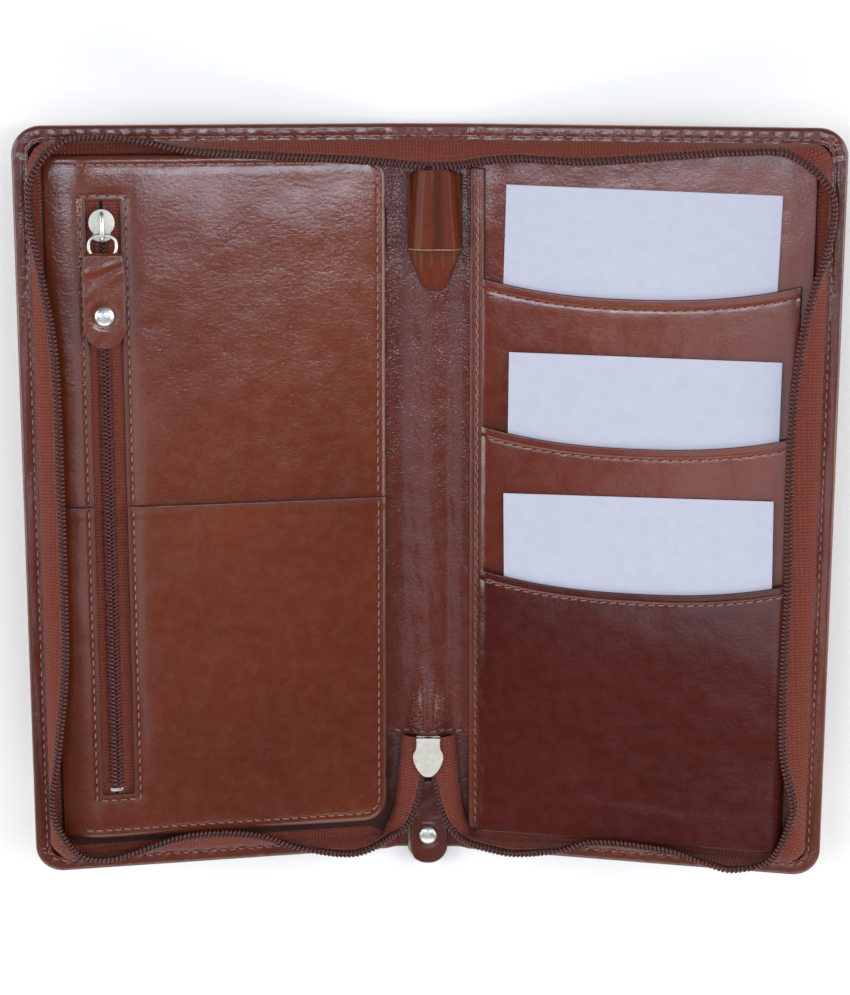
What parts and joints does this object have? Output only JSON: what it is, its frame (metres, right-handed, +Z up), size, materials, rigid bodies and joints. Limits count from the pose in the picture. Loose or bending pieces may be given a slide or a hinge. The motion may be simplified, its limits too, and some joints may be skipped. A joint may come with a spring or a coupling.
{
  "type": "travel document organizer",
  "caption": "Zip-around leather travel document organizer, open: hinged zip page with passport pocket, pen loop, stepped card pockets and pull tabs.",
  "frame": {"origin": "middle of the spine's outer face, which rests on the table", "axes": "+X across the open covers towards the card side, +Y along the spine towards the pen loop, +Z up out of the open organizer"},
  "size_m": [0.2532, 0.2431, 0.0318],
  "materials": {
    "leather_outer": "glossy full-grain, reddish brown",
    "leather_page": "glossy smooth, reddish tan",
    "leather_panel": "glossy smooth, reddish brown",
    "leather_dark": "glossy smooth, oxblood",
    "leather_loop": "soft, creased, tan",
    "zip_tape": "woven, matte",
    "zip_coil": "nylon coil, dark plum",
    "lining": "woven nylon, near black",
    "board": "pressed fibreboard",
    "nickel": "polished nickel plate",
    "card_stock": "white card"
  },
  "bodies": {
    "spine": {"spine_cover": "leather_outer", "spine_board": "board", "spine_lining": "leather_panel", "pen_loop_base": "leather_loop", "pen_loop": "leather_loop", "top_zip_tape": "zip_tape", "top_zip_coil": "zip_coil", "zip_tail": "zip_tape", "lead_tape_left": "zip_tape", "lead_tape_right": "zip_tape", "lead_coil_left": "zip_coil", "lead_coil_right": "zip_coil"},
    "main_slider": {"main_slider_body": "nickel", "main_slider_bail": "nickel"},
    "main_pull": {"main_pull_ring": "nickel", "main_pull_tab": "leather_page", "main_pull_rivet": "nickel"},
    "left_cover": {"left_cover_leather": "leather_outer", "left_cover_board": "board", "left_cover_lining": "lining", "left_zip_tape": "zip_tape", "left_zip_coil": "zip_coil", "page_hinge_strip": "leather_page"},
    "page": {"page_back": "leather_page", "page_bag": "lining", "page_front": "leather_page", "passport_pocket": "leather_page", "inner_zip_tape_spine_side": "zip_tape", "inner_zip_tape_edge_side": "zip_tape", "inner_zip_coil_spine_side": "zip_coil", "inner_zip_coil_edge_side": "zip_coil", "inner_zip_stop_top": "nickel", "inner_zip_stop_bottom": "nickel"},
    "inner_slider": {"inner_slider_body": "nickel", "inner_slider_bail": "nickel"},
    "inner_ring": {"inner_pull_ring": "nickel"},
    "inner_tab": {"inner_pull_tab": "leather_page", "inner_pull_rivet": "nickel"},
    "right_cover": {"right_cover_leather": "leather_outer", "right_cover_board": "board", "right_cover_lining": "lining", "right_zip_tape": "zip_tape", "right_zip_coil": "zip_coil", "card_panel_base": "leather_panel", "card_panel_strip": "leather_panel", "card_pocket_top": "leather_panel", "card_pocket_middle": "leather_panel", "card_pocket_bottom": "leather_dark"},
    "card_top": {"card_top": "card_stock"},
    "card_middle": {"card_middle": "card_stock"},
    "card_bottom": {"card_bottom": "card_stock"}
  },
  "joints": [
    {"name": "left_cover_fold", "type": "hinge", "parent": "spine", "child": "left_cover", "pos_m": [-0.0125, 0, 0.0013], "axis": [0, 1, 0], "range_deg": [-11.6, 78.4]},
    {"name": "right_cover_fold", "type": "hinge", "parent": "spine", "child": "right_cover", "pos_m": [0.0125, 0, 0.0013], "axis": [0, -1, 0], "range_deg": [-11.6, 78.4]},
    {"name": "page_turn", "type": "hinge", "parent": "left_cover", "child": "page", "pos_m": [-0.11134, 0, 0.02455], "axis": [0, 1, 0], "range_deg": [-60, 0]},
    {"name": "inner_slider_travel", "type": "slide", "parent": "page", "child": "inner_slider", "axis": [0, -1, 0], "range_m": [0, 0.158]},
    {"name": "inner_ring_swing", "type": "hinge", "parent": "inner_slider", "child": "inner_ring", "pos_m": [-0.09915, 0.0864, 0.02674], "axis": [0.9796, 0, -0.2011], "range_deg": [-95, 0]},
    {"name": "inner_tab_swing", "type": "hinge", "parent": "inner_ring", "child": "inner_tab", "pos_m": [-0.09915, 0.0798, 0.02674], "axis": [0.9796, 0, -0.2011], "range_deg": [-60, 0]},
    {"name": "main_slider_travel", "type": "slide", "parent": "spine", "child": "main_slider", "axis": [0, -1, 0], "range_m": [0, 0.01]},
    {"name": "main_pull_swing", "type": "hinge", "parent": "main_slider", "child": "main_pull", "pos_m": [0, -0.0865, 0.00245], "axis": [0, 0, 1], "range_deg": [-6, 6]},
    {"name": "card_top_slide", "type": "slide", "parent": "right_cover", "child": "card_top", "axis": [0, -1, 0], "range_m": [-0.009, 0]},
    {"name": "card_middle_slide", "type": "slide", "parent": "right_cover", "child": "card_middle", "axis": [0, -1, 0], "range_m": [-0.027, 0]},
    {"name": "card_bottom_slide", "type": "slide", "parent": "right_cover", "child": "card_bottom", "axis": [0, -1, 0], "range_m": [-0.027, 0]}
  ]
}
